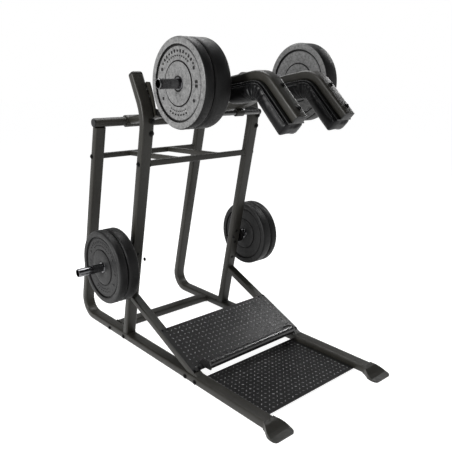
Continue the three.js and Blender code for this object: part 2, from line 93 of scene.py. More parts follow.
def make_camera():
    """The viewpoint: in front and to the left of the machine, looking a little down."""
    yaw, pitch, roll = (math.radians(degrees) for degrees in YAW_PITCH_ROLL)
    forward = Vector((math.sin(yaw) * math.cos(pitch), math.cos(yaw) * math.cos(pitch), math.sin(pitch)))
    data = bpy.data.cameras.new("camera")
    data.lens = LENS
    data.sensor_width = SENSOR
    camera = bpy.data.objects.new("camera", data)
    camera.location = CAMERA_AT
    camera.rotation_mode = "QUATERNION"
    camera.rotation_quaternion = forward.to_track_quat("-Z", "Y")
    camera.rotation_quaternion.rotate(Matrix.Rotation(roll, 3, forward))
    bpy.context.scene.collection.objects.link(camera)
    bpy.context.scene.camera = camera


make_camera()


# ---------------------------------------------------------------- materials
class Nodes:
    """A small helper round one material's node tree."""

    def __init__(self, name, roughness, metallic=0.0):
        self.material = bpy.data.materials.new(name)
        self.material.use_nodes = True
        self.tree = self.material.node_tree
        self.shader = self.tree.nodes["Principled BSDF"]
        self.shader.inputs["Roughness"].default_value = roughness
        self.shader.inputs["Metallic"].default_value = metallic
        self.coords = self.tree.nodes.new("ShaderNodeTexCoord").outputs["Object"]

    def add(self, kind, **values):
        node = self.tree.nodes.new(kind)
        for key, value in values.items():
            node.inputs[key].default_value = value
        return node

    def link(self, a, b):
        self.tree.links.new(a, b)

    def noise(self, scale, detail=3.0, roughness=0.5):
        node = self.add("ShaderNodeTexNoise", Scale=scale, Detail=detail, Roughness=roughness)
        self.link(self.coords, node.inputs["Vector"])
        return node.outputs["Fac"]

    def cells(self, scale):
        node = self.add("ShaderNodeTexVoronoi", Scale=scale)
        self.link(self.coords, node.inputs["Vector"])
        return node.outputs["Distance"]

    def ramp(self, value, stops):
        node = self.tree.nodes.new("ShaderNodeValToRGB")
        elements = node.color_ramp.elements
        while len(elements) < len(stops):
            elements.new(0.5)
        for element, (position, color) in zip(elements, stops):
            element.position = position
            element.color = (*color, 1.0)
        self.link(value, node.inputs["Fac"])
        return node.outputs["Color"]

    def spread(self, value, low, high):
        limits = {"From Min": 0.3, "From Max": 0.7, "To Min": low, "To Max": high}
        node = self.add("ShaderNodeMapRange", **limits)
        self.link(value, node.inputs["Value"])
        return node.outputs["Result"]

    def mix(self, factor, a, b):
        node = self.tree.nodes.new("ShaderNodeMix")
        node.data_type = "RGBA"
        self.link(factor, node.inputs["Factor"])
        self.link(a, node.inputs["A"])
        self.link(b, node.inputs["B"])
        return node.outputs["Result"]

    def bump(self, height, strength, distance, under=None):
        node = self.add("ShaderNodeBump", Strength=strength, Distance=distance)
        self.link(height, node.inputs["Height"])
        if under is not None:
            self.link(under, node.inputs["Normal"])
        return node.outputs["Normal"]

    def finish(self, color=None, roughness=None, normal=None):
        for name, output in (("Base Color", color), ("Roughness", roughness), ("Normal", normal)):
            if output is not None:
                self.link(output, self.shader.inputs[name])
        return self.material


def powder_coat(name, dark, light, rough=(0.34, 0.5), gloss=0.28):
    """Satin powder coat: fine orange peel, faint cloudiness and a few rubbed patches."""
    n = Nodes(name, 0.4)
    n.shader.inputs["Specular IOR Level"].default_value = gloss
    cloud = n.noise(3.5, 4.0)
    peel = n.noise(900.0, 2.0)
    color = n.ramp(cloud, ((0.3, dark), (0.7, light)))
    rub = n.noise(38.0, 6.0, 0.65)
    n_rough = n.spread(rub, *rough)
    normal = n.bump(peel, 0.16, 0.0006, n.bump(n.noise(240.0, 2.0), 0.06, 0.0012))
    return n.finish(color, n_rough, normal)


def tread_sheet(name):
    """Dark sheet between the lugs, with grit marks worn into the coat."""
    n = Nodes(name, 0.4)
    n.shader.inputs["Specular IOR Level"].default_value = 0.22
    dark, light = (0.0012, 0.0012, 0.0013), (0.005, 0.005, 0.0052)
    color = n.ramp(n.noise(9.0, 6.0, 0.6), ((0.35, dark), (0.75, light)))
    normal = n.bump(n.noise(420.0, 3.0), 0.35, 0.0008)
    return n.finish(color, n.spread(n.noise(60.0, 5.0, 0.7), 0.3, 0.46), normal)


def lug_painted_highlight(name):
    """Tops of the lugs, painted lighter than the sheet in patches: a painted highlight where the raised lugs
    catch the light.
    """
    n = Nodes(name, 0.3, 0.5)
    # Painted highlight: the lug colour runs from near black up to pale grey, so most lugs read as small
    # light glints.
    dark, light = (0.012, 0.012, 0.012), (0.34, 0.34, 0.345)
    color = n.ramp(n.noise(60.0, 4.0, 0.6), ((0.38, dark), (0.70, light)))
    return n.finish(color, n.spread(n.noise(300.0), 0.22, 0.42), n.bump(n.noise(700.0), 0.2, 0.0004))


def chrome(name):
    """Bright chrome with fine sliding scratches along the lateral axis."""
    n = Nodes(name, 0.08, 1.0)
    stretch = n.add("ShaderNodeMapping")
    stretch.inputs["Scale"].default_value = (4.0, 900.0, 900.0)
    n.link(n.coords, stretch.inputs["Vector"])
    scratch = n.add("ShaderNodeTexNoise", Scale=1.0, Detail=2.0)
    n.link(stretch.outputs["Vector"], scratch.inputs["Vector"])
    color = n.ramp(n.noise(14.0), ((0.3, (0.10, 0.10, 0.105)), (0.7, (0.22, 0.22, 0.225))))
    roughness = n.spread(scratch.outputs["Fac"], 0.08, 0.2)
    return n.finish(color, roughness, n.bump(scratch.outputs["Fac"], 0.05, 0.0003))


def rubber(name, dark, light, speck, grain=0.4, rough=(0.45, 0.62)):
    """Moulded rubber with a pebbled skin and paler specks; grain is the pebbles' strength."""
    n = Nodes(name, 0.55)
    n.shader.inputs["Specular IOR Level"].default_value = 0.2
    clouds = n.ramp(n.noise(55.0, 8.0, 0.75), ((0.34, dark), (0.66, light)))
    specks = n.ramp(n.cells(420.0), ((0.0, speck), (0.22, light)))
    mask = n.ramp(n.noise(150.0, 3.0, 0.6), ((0.5, (0.0, 0.0, 0.0)), (0.66, (0.7, 0.7, 0.7))))
    color = n.mix(mask, clouds, specks)
    normal = n.bump(n.noise(330.0, 4.0, 0.6), grain, 0.0009)
    return n.finish(color, n.spread(n.noise(90.0, 3.0), *rough), normal)


def vinyl(name):
    """Black upholstery vinyl: small leather grain and soft gloss."""
    n = Nodes(name, 0.34)
    n.shader.inputs["Specular IOR Level"].default_value = 0.13
    n.shader.inputs["Coat Weight"].default_value = 0.03
    n.shader.inputs["Coat Roughness"].default_value = 0.3
    grain = n.cells(520.0)
    dark, light = (0.0012, 0.0012, 0.0014), (0.003, 0.003, 0.0033)
    color = n.ramp(n.noise(12.0, 3.0), ((0.3, dark), (0.7, light)))
    normal = n.bump(grain, 0.22, 0.0006, n.bump(n.noise(34.0, 2.0), 0.12, 0.0016))
    return n.finish(color, n.spread(n.noise(75.0, 4.0), 0.3, 0.46), normal)


FRAME_PAINT = powder_coat("frame_paint", (0.0115, 0.0108, 0.0085), (0.0175, 0.0165, 0.0135))
BLACK_STEEL = powder_coat("black_steel", (0.002, 0.002, 0.002), (0.0045, 0.0045, 0.0045), (0.36, 0.5))
BAR_PAINT = powder_coat("bar_paint", (0.006, 0.006, 0.006), (0.011, 0.011, 0.011), (0.24, 0.33), 0.9)
TREAD = tread_sheet("tread_sheet")
LUG = lug_painted_highlight("lug_painted_highlight")
CHROME = chrome("chrome")
TYRE = rubber("tyre_rubber", (0.001, 0.001, 0.001), (0.004, 0.004, 0.0041), (0.012, 0.012, 0.012), 0.25)
DARK_FACE = rubber(
    "dark_face", (0.0045, 0.0045, 0.0045), (0.014, 0.014, 0.0142), (0.045, 0.045, 0.045), 0.5, (0.4, 0.55)
)
GREY_FACE = rubber(
    "grey_face", (0.045, 0.045, 0.045), (0.15, 0.15, 0.149), (0.3, 0.3, 0.3), 0.6, (0.32, 0.48)
)
GROOVE = rubber(
    "groove_black", (0.0008, 0.0008, 0.0008), (0.002, 0.002, 0.002), (0.004, 0.004, 0.004), 0.2
)
VINYL = vinyl("pad_vinyl")
BOLT = powder_coat("bolt_black", (0.0006, 0.0006, 0.0006), (0.0015, 0.0015, 0.0015), (0.35, 0.5), 0.12)
PLASTIC = powder_coat("plug_plastic", (0.006, 0.006, 0.006), (0.011, 0.011, 0.011), (0.4, 0.55))


# ---------------------------------------------------------------- mesh helpers
def piece(name, verts, faces, material, body, smooth=40.0):
    """One new object in the machine's frame, riding on a body."""
    mesh = bpy.data.meshes.new(name)
    mesh.from_pydata([tuple(v) for v in verts], [], faces)
    mesh.validate()
    obj = bpy.data.objects.new(name, mesh)
    bpy.context.scene.collection.objects.link(obj)
    materials = material if isinstance(material, (list, tuple)) else [material]
    for m in materials:
        mesh.materials.append(m)
    bm = bmesh.new()
    bm.from_mesh(mesh)
    bmesh.ops.recalc_face_normals(bm, faces=bm.faces)
    bm.to_mesh(mesh)
    bm.free()
    mesh.polygons.foreach_set("use_smooth", [True] * len(mesh.polygons))
    mesh.set_sharp_from_angle(angle=math.radians(smooth))
    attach(obj, body)
    return obj


def strip(a, b, count, shift=0):
    """Faces between two rings of a mesh that start at vertices a and b."""
    faces = []
    for i in range(count):
        j = (i + 1) % count
        faces.append((a + i, a + j, b + (j + shift) % count, b + (i + shift) % count))
    return faces


class Builder:
    """Collects closed shapes that become one piece."""

    def __init__(self):
        self.verts = []
        self.faces = []

    def add(self, verts, faces):
        base = len(self.verts)
        self.verts += [Vector(v) for v in verts]
        self.faces += [tuple(base + i for i in f) for f in faces]

    def rings(self, rings):
        """Joins rings of equal length into a skin, closed at both ends."""
        n = len(rings[0])
        verts = [v for ring in rings for v in ring]
        faces = []
        for k in range(len(rings) - 1):
            faces += strip(k * n, (k + 1) * n, n)
        faces.append(tuple(range(n - 1, -1, -1)))
        faces.append(tuple(range((len(rings) - 1) * n, len(rings) * n)))
        self.add(verts, faces)

    def hoop(self, rings, shift=0):
        """Joins rings of equal length into a closed hoop; shift turns the last joint."""
        n, count = len(rings[0]), len(rings)
        verts = [v for ring in rings for v in ring]
        faces = []
        for k in range(count):
            following = (k + 1) % count
            faces += strip(k * n, following * n, n, 0 if following else shift)
        self.add(verts, faces)

    def turned(self, origin, axis, profile, sides=24):
        """A turned shape on an axis: profile pairs are (height, radius)."""
        u, v = basis(axis)
        w = Vector(axis).normalized()
        rings = []
        for height, radius in profile:
            ring = []
            for i in range(sides):
                a = 2 * math.pi * i / sides
                ring.append(Vector(origin) + w * height + (u * math.cos(a) + v * math.sin(a)) * radius)
            rings.append(ring)
        self.rings(rings)

    def pipe(self, points, radius, sides=8, ripple=0.0):
        """A round bead through the points, closed if the last point is the first one again.
        Ripple makes every second ring a little thicker, as in a weld."""
        points = [Vector(p) for p in points]
        loop = (points[0] - points[-1]).length < 1e-6
        if loop:
            points = points[:-1]
        count = len(points)
        rings = []
        side = None
        for k, p in enumerate(points):
            before = points[k - 1] if (k or loop) else p
            after = points[(k + 1) % count] if (k < count - 1 or loop) else p
            along = (after - before).normalized()
            if side is None:
                side = along.orthogonal().normalized()
            side = (side - along * side.dot(along)).normalized()
            other = along.cross(side)
            r = radius * (1.0 + ripple * (1 if k % 2 else -1))
            turns = [2 * math.pi * i / sides for i in range(sides)]
            rings.append([p + (side * math.cos(t) + other * math.sin(t)) * r for t in turns])
        if loop:
            self.hoop(rings, min(range(sides), key=lambda t: (rings[-1][0] - rings[0][t]).length))
        else:
            self.rings(rings)

    def make(self, name, material, body, smooth=40.0):
        return piece(name, self.verts, self.faces, material, body, smooth)


def basis(axis):
    """Two unit vectors square to an axis."""
    w = Vector(axis).normalized()
    u = w.orthogonal().normalized()
    return u, w.cross(u)


def subdivided(points, step):
    """A polyline cut into short steps."""
    out = []
    for a, b in zip(points[:-1], points[1:]):
        a, b = Vector(a), Vector(b)
        count = max(1, round((b - a).length / step))
        out += [a.lerp(b, k / count) for k in range(count)]
    out.append(Vector(points[-1]))
    return out


def rounded_loop(centre, u, v, half_u, half_v, r, steps=5):
    """A closed rounded rectangle in the plane of u and v."""
    loop = []
    for k, (su, sv) in enumerate(((1, 1), (-1, 1), (-1, -1), (1, -1))):
        for i in range(steps + 1):
            a = math.pi / 2 * (k + i / steps)
            x = su * (half_u - r) + r * math.cos(a)
            y = sv * (half_v - r) + r * math.sin(a)
            loop.append(Vector(centre) + Vector(u) * x + Vector(v) * y)
    return loop + [loop[0]]


# ---------------------------------------------------------------- materials on the CAD nodes
def node_look(name):
    """The material of a CAD node."""
    if name.startswith(("storage_post", "lever_post", "lock_pin")):
        return CHROME
    if name.startswith(("calf_bar", "lockout_bar")):
        return BAR_PAINT
    if name in ("footplate", "floor_plate"):
        return TREAD
    if name.startswith(("pad_base", "latch_arm", "axle_cap")):
        return BLACK_STEEL
    if name.startswith("upright_cap"):
        return PLASTIC
    if name.startswith("rubber_foot"):
        return GROOVE
    return FRAME_PAINT


def dress_cad_nodes():
    """Gives every node its material, with smooth shading that stays sharp at real edges."""
    for name, obj in NODES.items():
        obj.data.materials.clear()
        obj.data.materials.append(node_look(name))
        obj.data.polygons.foreach_set("use_smooth", [True] * len(obj.data.polygons))
        weld = obj.modifiers.new("weld", "WELD")
        weld.merge_threshold = 0.00002
        split = obj.modifiers.new("split", "EDGE_SPLIT")
        split.split_angle = math.radians(50)
        obj.modifiers.new("normals", "WEIGHTED_NORMAL")


dress_cad_nodes()


# ---------------------------------------------------------------- weight plates
# One face of a plate from the bore out to the tyre: (depth from the face, radius, material index).
RUBBER, FACE, GAP, RING = range(4)
PLATE_FACE = [
    (0.004, PLATE_BORE, RING),
    (0.0035, 0.031, RING),
    (0.0065, 0.0325, RUBBER),
    (0.0045, 0.040, FACE),
    (0.003, 0.060, FACE),
    (0.0025, 0.102, FACE),
    (0.004, 0.106, GAP),
    (0.0085, 0.108, GAP),
    (0.0085, 0.1115, GAP),
    (0.0065, 0.1135, FACE),
    (0.0055, 0.120, FACE),
    (0.0055, 0.172, FACE),
    (0.0062, 0.177, FACE),
    (0.0095, 0.179, GAP),
    (0.0095, 0.1865, GAP),
    (0.0010, 0.1895, FACE),
    (0.0, 0.192, FACE),
    (0.0, 0.2135, FACE),
    (0.0006, 0.2165, FACE),
    (0.0028, 0.2195, RUBBER),
    (0.0072, 0.2232, RUBBER),
    (0.0125, PLATE_R, RUBBER),
]
# How deep under the plate's face the marks start.
RELIEF_DEPTH = 0.0056
# Arcs of bars: (radius, first angle, step and number of bars, bar length, bar widths in turn).
MARK_ARCS = (
    (0.156, 38, 8.7, 13, 0.011, (0.011, 0.016, 0.016)),
    (0.134, 52, 7.6, 11, 0.008, (0.008,)),
    (0.152, 246, 8.5, 7, 0.011, (0.009,)),
    (0.134, 244, 6.6, 9, 0.007, (0.006,)),
)
# Four blocks: radius, length and width, and angles. Four studs: radius, profile and angles.
BLOCK = (0.146, 0.015, 0.022)
BLOCK_ANGLES = (176, 184, 356, 4)
STUD_RADIUS = 0.148
STUD_PROFILE = ((0.0, 0.0085), (0.0016, 0.0085), (0.0024, 0.0072))
STUD_ANGLES = (150, 212, 330, 28)
# Height of bars and blocks, and the share of their size that is left at the top.
MARK_HEIGHT, MARK_TOP = 0.0022, 0.86


def weight_plate(node, face_material):
    """A moulded plate: raised rim, grooves, hub disc and a steel ring in the bore.
    Returns the place of its centre and of its two faces."""
    low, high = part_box(node)
    y, z = (low.y + high.y) / 2, (low.z + high.z) / 2
    x0, x1 = low.x, high.x
    middle, seam = (x0 + x1) / 2, PLATE_R - 0.0006
    outline = [(x0 + d, r, m) for d, r, m in PLATE_FACE]
    outline += [(middle - 0.001, seam, RUBBER), (middle + 0.001, seam, RUBBER)]
    outline += [(x1 - d, r, m) for d, r, m in reversed(PLATE_FACE)]
    sides = 128
    verts = []
    for x, r, _ in outline:
        for i in range(sides):
            a = 2 * math.pi * i / sides
            verts.append((x, y + r * math.cos(a), z + r * math.sin(a)))
    faces = []
    indices = []
    count = len(outline)
    for k in range(count):
        following = (k + 1) % count
        faces += strip(k * sides, following * sides, sides)
        indices += [outline[k][2] if k < len(PLATE_FACE) else outline[following][2]] * sides
    materials = [TYRE, face_material, GROOVE, CHROME]
    obj = piece(node + "_moulded", verts, faces, materials, node, 30.0)
    obj.data.polygons.foreach_set("material_index", indices)
    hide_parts(node)
    return y, z, x0, x1


def raised_bar(b, hub, outward, radius, degrees, length, width):
    """A short bar that stands off the face, square to the spoke at an angle."""
    a = math.radians(degrees)
    out = Vector((0, math.cos(a), math.sin(a)))
    along = Vector((0, -math.sin(a), math.cos(a)))
    centre = hub + out * radius
    loop = rounded_loop(centre, along, out, length / 2, width / 2, min(length, width) * 0.3, 3)[:-1]
    raised = Vector((outward * MARK_HEIGHT, 0, 0))
    top = [centre + (p - centre) * MARK_TOP + raised for p in loop]
    b.rings([loop, top])


def relief(node, y, z, x, outward, material):
    """Generic raised marks round a plate's face: arcs of short bars, four blocks and four studs."""
    b = Builder()
    hub = Vector((x, y, z))
    for radius, first, step, count, length, widths in MARK_ARCS:
        for k in range(count):
            raised_bar(b, hub, outward, radius, first + k * step, length, widths[k % len(widths)])
    for degrees in BLOCK_ANGLES:
        radius, length, width = BLOCK
        raised_bar(b, hub, outward, radius, degrees, length, width)
    for degrees in STUD_ANGLES:
        a = math.radians(degrees)
        centre = (x, y + STUD_RADIUS * math.cos(a), z + STUD_RADIUS * math.sin(a))
        b.turned(centre, (outward, 0, 0), STUD_PROFILE, 20)
    b.make(node + "_relief", material, node)


def make_plates():
    """Every plate, with its relief on the face that looks away from the machine."""
    looks = {
        "lever_plate_left_inner": DARK_FACE,
        "lever_plate_left_outer": GREY_FACE,
        "lever_plate_right": GREY_FACE,
        "storage_plate_left_inner": DARK_FACE,
        "storage_plate_left_outer": DARK_FACE,
        "storage_plate_right_inner": DARK_FACE,
        "storage_plate_right_outer": DARK_FACE,
    }
    for node, face in looks.items():
        y, z, x0, x1 = weight_plate(node, face)
        marks = TYRE if face is GREY_FACE else DARK_FACE
        if "left" in node:
            relief(node, y, z, x0 + RELIEF_DEPTH, -1, marks)
        else:
            relief(node, y, z, x1 - RELIEF_DEPTH, 1, marks)


make_plates()


# ---------------------------------------------------------------- stuffed shoulder pads
# The cover starts a little inside the CAD pad and may swell no further than PAD_SWELL.
PAD_INSET = 0.0012
PAD_SWELL = 0.005
PAD_VOXEL = 0.005
PAD_PRESSURE = 5.0
PAD_FRAMES = 20
# Folds at the hollow of the bend: number per turn, depth, and how far they reach in radius and angle.
FOLDS = 19.0
FOLD_DEPTH = 0.0036
FOLD_OUTER, FOLD_FADE = 0.125, 0.06
FOLD_MIDDLE, FOLD_SPREAD = 0.15, 1.45


def pad_bend():
    """Centre of the pad's bend and the direction from it up through the corner."""
    p = Vector((0, *LEVER_POINTS[2]))
    a = (Vector((0, *LEVER_POINTS[1])) - p).normalized()
    b = (Vector((0, *LEVER_POINTS[3])) - p).normalized()
    turn = math.pi - a.angle(b)
    bisector = (a + b).normalized()
    return p + bisector * (PAD_BEND_RADIUS / math.cos(turn / 2)), -bisector


def swell(obj):
    """Blows the pad up a little as cloth under pressure, then keeps the result."""
    remesh = obj.modifiers.new("remesh", "REMESH")
    remesh.mode = "VOXEL"
    remesh.voxel_size = PAD_VOXEL
    bpy.context.view_layer.objects.active = obj
    bpy.ops.object.modifier_apply(modifier="remesh")
    rest = [v.co.copy() for v in obj.data.vertices]
    cloth = obj.modifiers.new("cloth", "CLOTH")
    settings = cloth.settings
    settings.use_pressure = True
    settings.uniform_pressure_force = PAD_PRESSURE
    settings.effector_weights.gravity = 0.0
    settings.quality = 4
    settings.tension_stiffness = 12.0
    settings.compression_stiffness = 12.0
    settings.bending_stiffness = 0.6
    cloth.collision_settings.use_collision = False
    scene = bpy.context.scene
    for number in range(1, PAD_FRAMES + 1):
        scene.frame_set(number)
    bpy.ops.object.modifier_apply(modifier="cloth")
    scene.frame_set(1)
    for v, start in zip(obj.data.vertices, rest):
        move = v.co - start
        if move.length > PAD_SWELL:
            v.co = start + move * (PAD_SWELL / move.length)


def iron(obj):
    """Takes the fine crinkle out of the blown cover and leaves its broad shape."""
    smooth = obj.modifiers.new("iron", "SMOOTH")
    smooth.factor = 0.6
    smooth.iterations = 40
    bpy.context.view_layer.objects.active = obj
    bpy.ops.object.modifier_apply(modifier="iron")


def gather(mesh):
    """Radial folds where the cover is drawn in at the hollow of the bend."""
    centre, up = pad_bend()
    moved = []
    for v in mesh.vertices:
        arm = Vector((0, v.co.y - centre.y, v.co.z - centre.z))
        radius = arm.length
        angle = math.atan2(arm.y * up.z - arm.z * up.y, arm.dot(up))
        near = max(0.0, min(1.0, (FOLD_OUTER - radius) / FOLD_FADE))
        spread = max(0.0, 1.0 - abs(angle - FOLD_MIDDLE) / FOLD_SPREAD)
        flank = 0.55 + 0.45 * min(1.0, abs(abs(v.co.x) - ARM_X) / 0.06)
        eased = near * near * (3 - 2 * near)
        depth = FOLD_DEPTH * eased * min(1.0, spread * 2.2) * flank
        wave = abs(math.sin(angle * FOLDS / 2 + 0.4 * math.sin(angle * 5)))
        moved.append(v.co + v.normal * (depth * (wave - 0.75)))
    for v, co in zip(mesh.vertices, moved):
        v.co = co


def pad_start(node):
    """The CAD pad's own form, drawn in a little so that it can swell."""
    mesh = NODES[node].data.copy()
    bm = bmesh.new()
    bm.from_mesh(mesh)
    bmesh.ops.remove_doubles(bm, verts=bm.verts, dist=0.00005)
    bm.normal_update()
    places = [v.co - v.normal * PAD_INSET for v in bm.verts]
    for v, co in zip(bm.verts, places):
        v.co = co
    bm.to_mesh(mesh)
    bm.free()
    return mesh


def make_pads():
    """Blows up the left pad as cloth; the right one is its mirror image."""
    mesh = pad_start("shoulder_pad_left")
    left = bpy.data.objects.new("shoulder_pad_left_cover", mesh)
    bpy.context.scene.collection.objects.link(left)
    swell(left)
    fine = left.modifiers.new("fine", "SUBSURF")
    fine.levels = 1
    fine.render_levels = 1
    bpy.context.view_layer.objects.active = left
    bpy.ops.object.modifier_apply(modifier="fine")
    iron(left)
    gather(left.data)
    left.data.materials.clear()
    left.data.materials.append(VINYL)
    left.data.polygons.foreach_set("use_smooth", [True] * len(left.data.polygons))
    mirrored = left.data.copy()
    mirrored.transform(Matrix.Scale(-1, 4, (1, 0, 0)))
    mirrored.flip_normals()
    right = bpy.data.objects.new("shoulder_pad_right_cover", mirrored)
    bpy.context.scene.collection.objects.link(right)
    for label, obj in (("left", left), ("right", right)):
        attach(obj, "lever")
        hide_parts("shoulder_pad_" + label)


make_pads()


def arm_line(depth, start_y, end_trim=0.0, step=0.012):
    """Points of the lever tube's path, moved down by a depth, from start_y to short of its end."""
    corners = [Vector((0, *p)) for p in LEVER_POINTS]
    points = []
    centre, up = pad_bend()
    a = (corners[1] - corners[2]).normalized()
    b = (corners[3] - corners[2]).normalized()
    turn = math.pi - a.angle(b)
    tangent = PAD_BEND_RADIUS * math.tan(turn / 2)
    first = corners[2] + a * tangent
    last = corners[2] + b * tangent
    down_a = Vector((0, a.z, -a.y))
    down_b = Vector((0, -b.z, b.y))
    share = (start_y - corners[1].y) / (first.y - corners[1].y)
    start = corners[1].lerp(first, share)
    points += [start + down_a * depth, first + down_a * depth]
    steps = 10
    for k in range(1, steps):
        angle = turn * (k / steps - 0.5)
        arm = Matrix.Rotation(angle, 3, "X") @ up
        points.append(centre + arm * (PAD_BEND_RADIUS - depth))
    points += [last + down_b * depth, corners[3] - b * end_trim + down_b * depth]
    return subdivided(points, step)


# Piping: depth under the tube's path, where it starts, how far short of the end it stops,
# how far it sits off the tube's plane, and its radius.
PIPING_DEPTH = 0.0385
PIPING_START = -0.384
PIPING_TRIM = 0.024
PIPING_OUT = 0.0625
PIPING_RADIUS = 0.0028


def pad_seams():
    """Welt piping along the two upper edges of each pad."""
    for label, side in SIDES:
        b = Builder()
        for edge in (-1, 1):
            line = arm_line(PIPING_DEPTH, PIPING_START, PIPING_TRIM)
            offset = Vector((side * ARM_X + edge * PIPING_OUT, 0, 0))
            b.pipe([p + offset for p in line], PIPING_RADIUS)
        b.make("pad_piping_" + label, VINYL, "lever")


pad_seams()


# ---------------------------------------------------------------- tread lugs
LUG_PITCH = 0.030
LUG_LONG, LUG_WIDE = 0.0085, 0.0036
LUG_SIDES = 8
# Lug rings: (height over the sheet, share of the lug's size).
LUG_PROFILE = ((-0.0002, 1.0), (0.0010, 0.72), (0.0016, 0.3))
# Bare margins of the sheets at the sides and at the ends.
SIDE_MARGIN, END_MARGIN = 0.012, 0.01
# From the footplate's middle to its face, with 0.1 mm to spare.
FACE_LIFT = 0.0026


def lugs(name, centre, u, v, normal, half_u, half_v):
    """Rows of small lens-shaped lugs, turned this way and that."""
    b = Builder()
    columns, rows = int(2 * half_u / LUG_PITCH), int(2 * half_v / LUG_PITCH)
    for i in range(columns):
        for j in range(rows):
            across, along = (i - (columns - 1) / 2) * LUG_PITCH, (j - (rows - 1) / 2) * LUG_PITCH
            at = centre + u * across + v * along
            turn = math.radians(45 if (i + j) % 2 else -45)
            long = u * math.cos(turn) + v * math.sin(turn)
            wide = normal.cross(long)
            rings = []
            for height, share in LUG_PROFILE:
                ring = []
                for k in range(LUG_SIDES):
                    a = 2 * math.pi * k / LUG_SIDES
                    flat = long * (LUG_LONG * share * math.cos(a)) + wide * (LUG_WIDE * share * math.sin(a))
                    ring.append(at + flat + normal * height)
                rings.append(ring)
            b.rings(rings)
    b.make(name, LUG, "frame", 60.0)


def make_lugs():
    """Lugs over the sloping footplate and the flat floor plate."""
    low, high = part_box("footplate")
    slope = Vector((0, high.y - low.y, high.z - low.z)).normalized()
    normal = Vector((0, -slope.z, slope.y))
    middle = (low + high) / 2 + normal * FACE_LIFT
    half = (high.y - low.y) / 2 / slope.y
    across = Vector((1, 0, 0))
    lugs("footplate_lugs", middle, across, slope, normal, high.x - SIDE_MARGIN, half - END_MARGIN)
    low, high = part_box("floor_plate")
    middle = Vector((0, (low.y + high.y) / 2, high.z))
    half = (high.y - low.y) / 2
    ahead, up = Vector((0, 1, 0)), Vector((0, 0, 1))
    lugs("floor_plate_lugs", middle, across, ahead, up, high.x - SIDE_MARGIN, half - END_MARGIN)


make_lugs()


# ---------------------------------------------------------------- fixings
# Where the bolts sit: heights on the front uprights, places along a runner, sheet or lever tube,
# and shifts off a tube's middle.
TOP_BOLT_HEIGHTS = (1.458, 1.388)
TOP_BOLT_SHIFT = 0.02
STORE_CAP_HEIGHTS = (0.632, 0.545, 0.425)
STORE_BOLT_SPREAD = 0.036
RUNNER_BOLTS = (0.44, 0.62, -0.245, -0.335)
RUNNER_BOLT_Z = 0.022
FOOTPLATE_BOLTS = (-0.305, 0.006)
FOOTPLATE_HALF = 0.440
FOOTPLATE_INSETS = (0.012, 0.05)
FLOOR_PLATE_BOLTS = (-0.80, -0.575, -0.345)
FLOOR_PLATE_BOLT_X = 0.355
FLOOR_PLATE_TOP = 0.0165
LEVER_BOLT_SHARES = (0.34, 0.84)
LEVER_BOLT_SHIFT = 0.012


def front_face(z):
    """Y of a front upright's front face at a height, and that face's outward normal."""
    lean = Vector((0, FRONT_BEND[0] - FRONT_FOOT[0], FRONT_BEND[1] - FRONT_FOOT[1])).normalized()
    y = FRONT_FOOT[0] + lean.y / lean.z * (z - FRONT_FOOT[1]) - TUBE_D / 2 / lean.z
    return y, Vector((0, -lean.z, lean.y))


def hex_bolt(b, at, axis, size):
    """Washer, hex head and a domed top."""
    b.turned(at, axis, ((0, size * 1.75), (0.0018, size * 1.75), (0.0022, size * 1.6)), 20)
    b.turned(at, axis, ((0.002, size), (0.0078, size), (0.0088, size * 0.86)), 6)
    b.turned(at, axis, ((0.0085, size * 0.5), (0.0105, size * 0.42), (0.0112, size * 0.2)), 14)


def cap_bolt(b, at, axis, size=0.008):
    """Low round head with a socket rim."""
    b.turned(at, axis, ((0, size), (0.0022, size), (0.0038, size * 0.72), (0.0042, size * 0.5)), 18)


def upright_bolts(b, side):
    """Bolts of one side's uprights: near the bend, at the crossbars and the post, and up the face."""
    for z in TOP_BOLT_HEIGHTS:
        y, normal = front_face(z)
        hex_bolt(b, (side * FRAME_X + TOP_BOLT_SHIFT, y, z), normal, 0.0095)
    for y, z in (FRONT_BAR, REAR_BAR):
        hex_bolt(b, (side * (FRAME_X + TUBE_W / 2), y, z), (side, 0, 0), 0.0095)
    for y in (STORE[0] - STORE_BOLT_SPREAD, STORE[0] + STORE_BOLT_SPREAD):
        hex_bolt(b, (side * (FRAME_X - TUBE_W / 2), y, STORE[1]), (-side, 0, 0), 0.007)
    for z in STORE_CAP_HEIGHTS:
        y, normal = front_face(z)
        cap_bolt(b, (side * FRAME_X, y, z), normal, 0.0105)


def base_bolts(b, side):
    """Bolts in one side's runner, and the screws of the footplate and the floor plate."""
    for y in RUNNER_BOLTS:
        hex_bolt(b, (side * (FRAME_X + TUBE_W / 2), y, RUNNER_BOLT_Z), (side, 0, 0), 0.0085)
    for y in FOOTPLATE_BOLTS:
        z = FOOTPLATE_LEVEL + FOOTPLATE_SLOPE * y + FOOTPLATE_T
        for inset in FOOTPLATE_INSETS:
            cap_bolt(b, (side * (FOOTPLATE_HALF - inset), y, z), FOOTPLATE_UP)
    for y in FLOOR_PLATE_BOLTS:
        cap_bolt(b, (side * FLOOR_PLATE_BOLT_X, y, FLOOR_PLATE_TOP), (0, 0, 1))


def frame_bolts():
    """Every fixing of the frame, as one piece."""
    b = Builder()
    for _, side in SIDES:
        upright_bolts(b, side)
        base_bolts(b, side)
    b.make("frame_bolts", BOLT, "frame", 30.0)


def lever_bolts():
    """Bolts on top of each lever tube's sloping end."""
    b = Builder()
    lower = Vector((0, LEVER_POINTS[3][0] - LEVER_POINTS[2][0], LEVER_POINTS[3][1] - LEVER_POINTS[2][1]))
    up = Vector((0, lower.z, -lower.y)).normalized()
    for _, side in SIDES:
        for share in LEVER_BOLT_SHARES:
            at = Vector((side * ARM_X + LEVER_BOLT_SHIFT, *LEVER_POINTS[2]))
            at += lower * share + up * (TUBE_D / 2)
            hex_bolt(b, at, up, 0.0075)
    b.make("lever_bolts", BOLT, "lever", 30.0)


